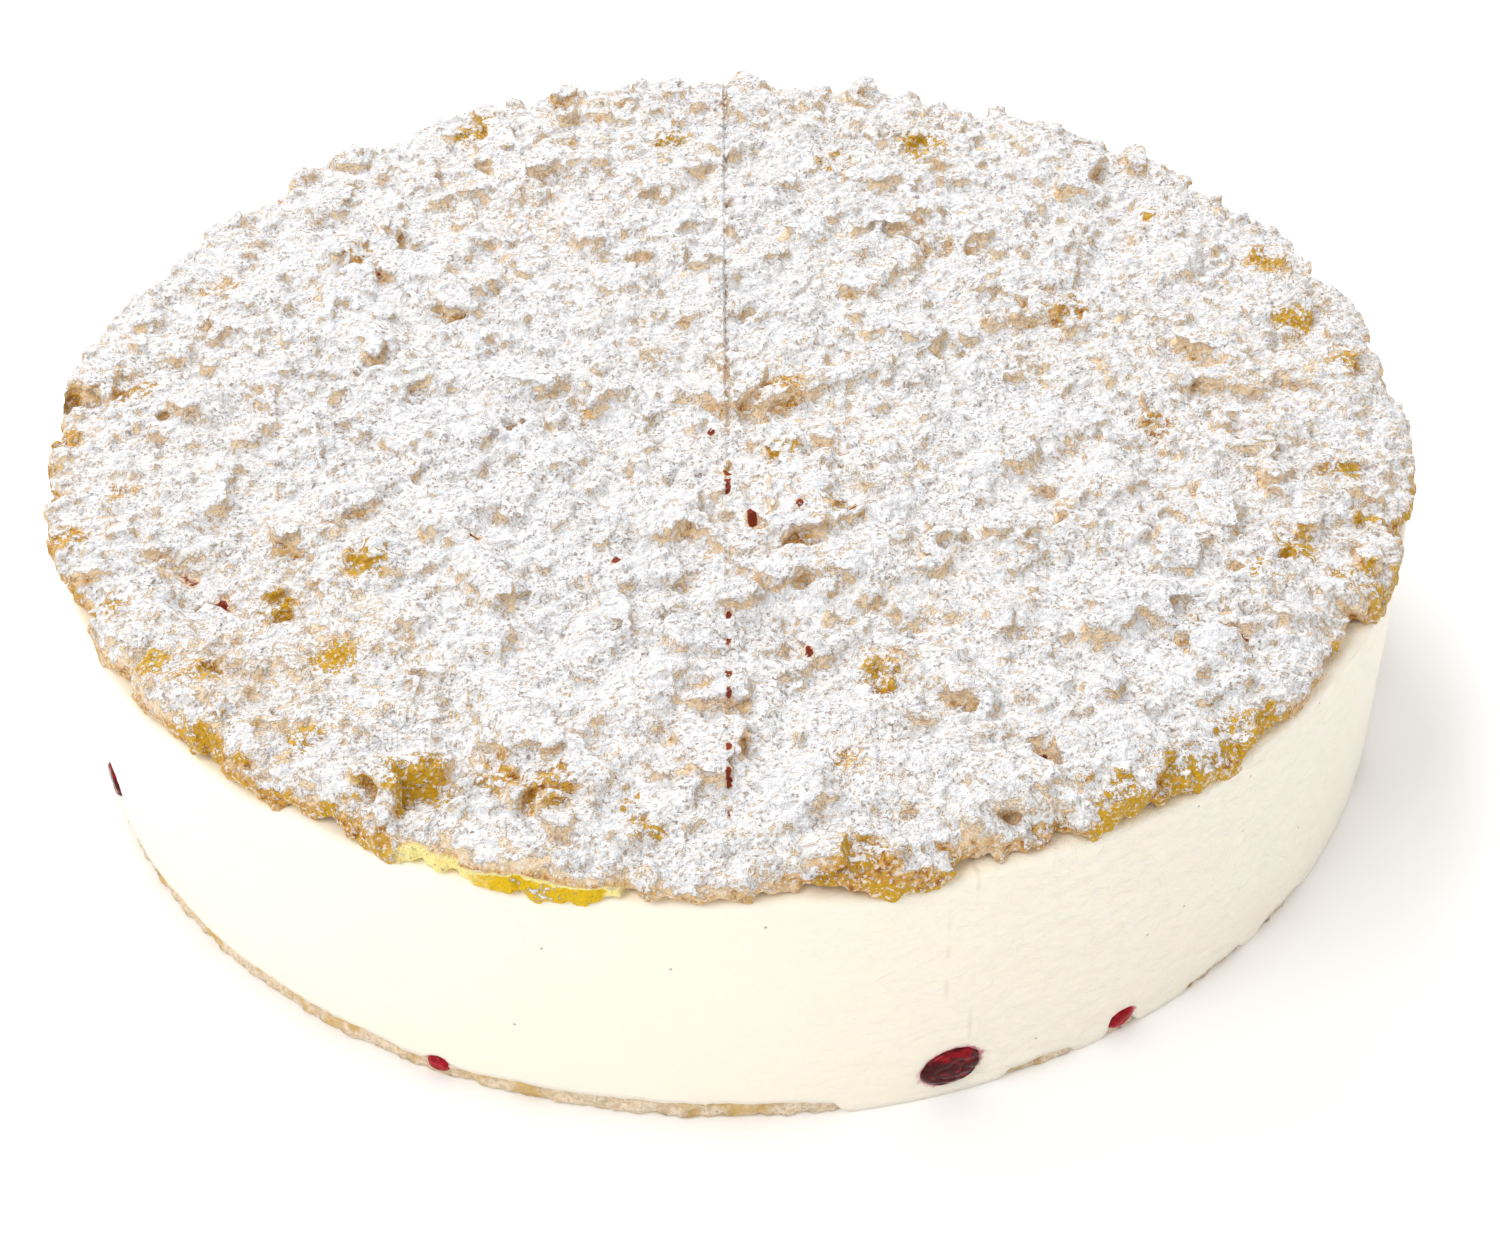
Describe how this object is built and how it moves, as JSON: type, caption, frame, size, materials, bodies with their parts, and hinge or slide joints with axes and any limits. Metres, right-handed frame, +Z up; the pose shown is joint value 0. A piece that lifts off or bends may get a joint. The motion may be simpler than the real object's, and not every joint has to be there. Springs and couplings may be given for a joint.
{
  "type": "flaky cream torte",
  "caption": "Round uncut cream torte on a thin baked base, with sour cherries at its side and a layer of baked flakes under icing sugar on top.",
  "frame": {"origin": "centre of the flat underside of the baked base", "axes": "+Z is up, from the base to the flakes; the front of the picture is -Y; the knife cut runs along Y"},
  "size_m": [0.2807, 0.2826, 0.0675],
  "materials": {
    "baked_base": "dry baked dough, matt",
    "set_cream": "smooth set cream, satin",
    "sugared_flakes": "golden baked flakes under icing sugar, matt",
    "dark_cherry": "wet dark fruit, glossy",
    "red_berry": "wet red fruit, glossy"
  },
  "bodies": {
    "root": {"base": "baked_base", "cream": "set_cream", "flake_layer": "sugared_flakes", "cherry_front": "dark_cherry", "cherry_left": "dark_cherry", "berry_left": "red_berry", "berry_right": "red_berry"}
  },
  "joints": []
}
